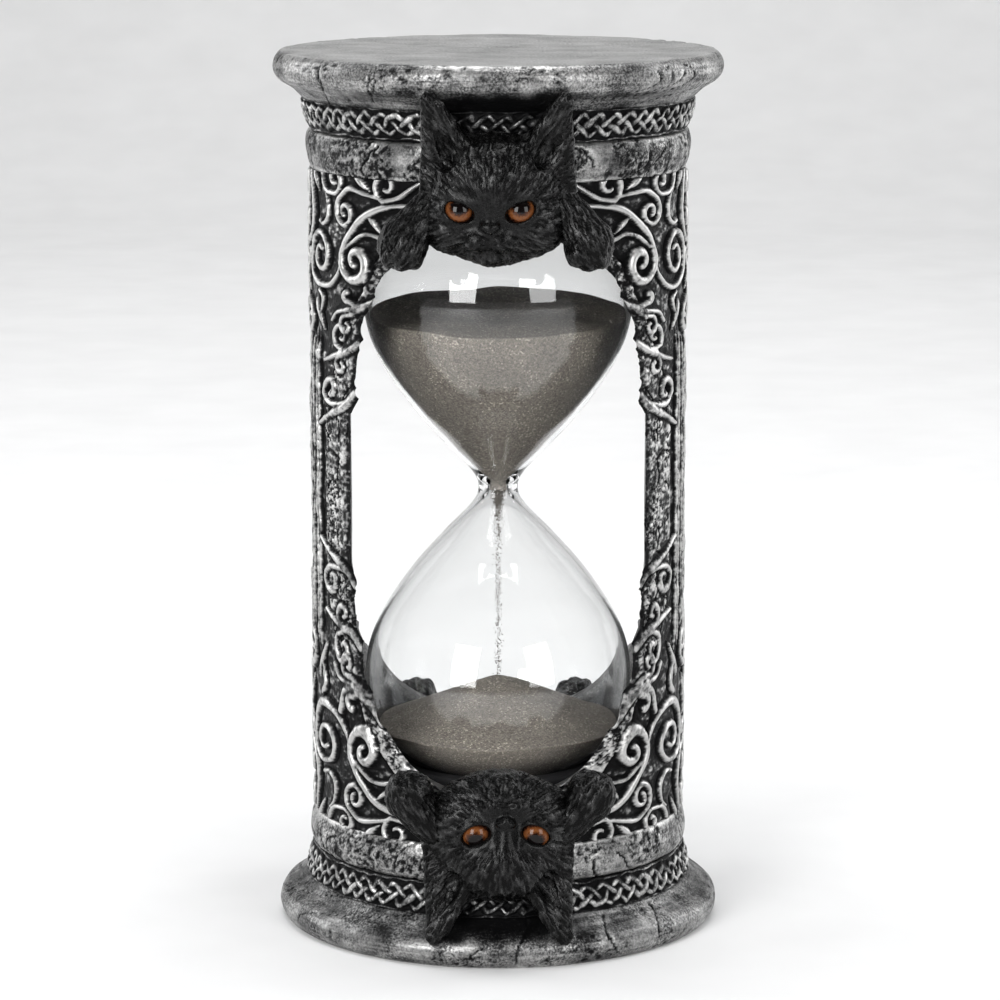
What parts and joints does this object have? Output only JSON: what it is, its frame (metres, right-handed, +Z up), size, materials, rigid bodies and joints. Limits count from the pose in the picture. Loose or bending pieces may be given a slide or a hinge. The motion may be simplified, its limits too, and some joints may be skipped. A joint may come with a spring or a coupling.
{
  "type": "hourglass",
  "caption": "Reversible sand timer: a blown glass bulb of grey sand inside a pierced, scroll-moulded silver tube, with black cats resting on the window arches.",
  "frame": {"origin": "centre of the lower plate's flat outer face", "axes": "+Z up along the timer's own axis towards the other plate; -Y is the front, the side of one window; +X is to the viewer's right"},
  "size_m": [0.094, 0.102, 0.185],
  "materials": {
    "end_plates": "cast resin painted antique silver, rubbed brighter on its raised edges and black in its pits and cracks",
    "knotwork_bands": "cast resin, bright rubbed silver strands over a black ground",
    "collars": "cast resin painted antique silver, cracked, with black in the cracks",
    "sleeve": "cast resin, rubbed silver scrolls and borders over a near-black ground",
    "clear_glass": "clear blown glass, fire polished",
    "stopper": "off-white moulded plastic",
    "cushion_foam": "black closed-cell foam",
    "sand": "fine taupe sand with a few bright grains",
    "cat_black": "cast resin painted black, satin, with combed fur",
    "cat_eyes": "amber enamel with a black pupil under clear gloss"
  },
  "bodies": {
    "root": {"lower_plate": "end_plates", "lower_knotwork_band": "knotwork_bands", "lower_collar": "collars", "upper_plate": "end_plates", "upper_knotwork_band": "knotwork_bands", "upper_collar": "collars", "pierced_sleeve": "sleeve", "glass_bulb": "clear_glass", "filling_stopper": "stopper", "lower_bulb_cushion": "cushion_foam", "upper_bulb_cushion": "cushion_foam", "upper_sand": "sand", "falling_sand": "sand", "lower_sand": "sand", "lower_front_cat_head": "cat_black", "lower_front_cat_paws": "cat_black", "lower_front_cat_eyes": "cat_eyes", "lower_rear_cat_head": "cat_black", "lower_rear_cat_paws": "cat_black", "lower_rear_cat_eyes": "cat_eyes", "upper_front_cat_head": "cat_black", "upper_front_cat_paws": "cat_black", "upper_front_cat_eyes": "cat_eyes", "upper_rear_cat_head": "cat_black", "upper_rear_cat_paws": "cat_black", "upper_rear_cat_eyes": "cat_eyes"}
  },
  "joints": []
}
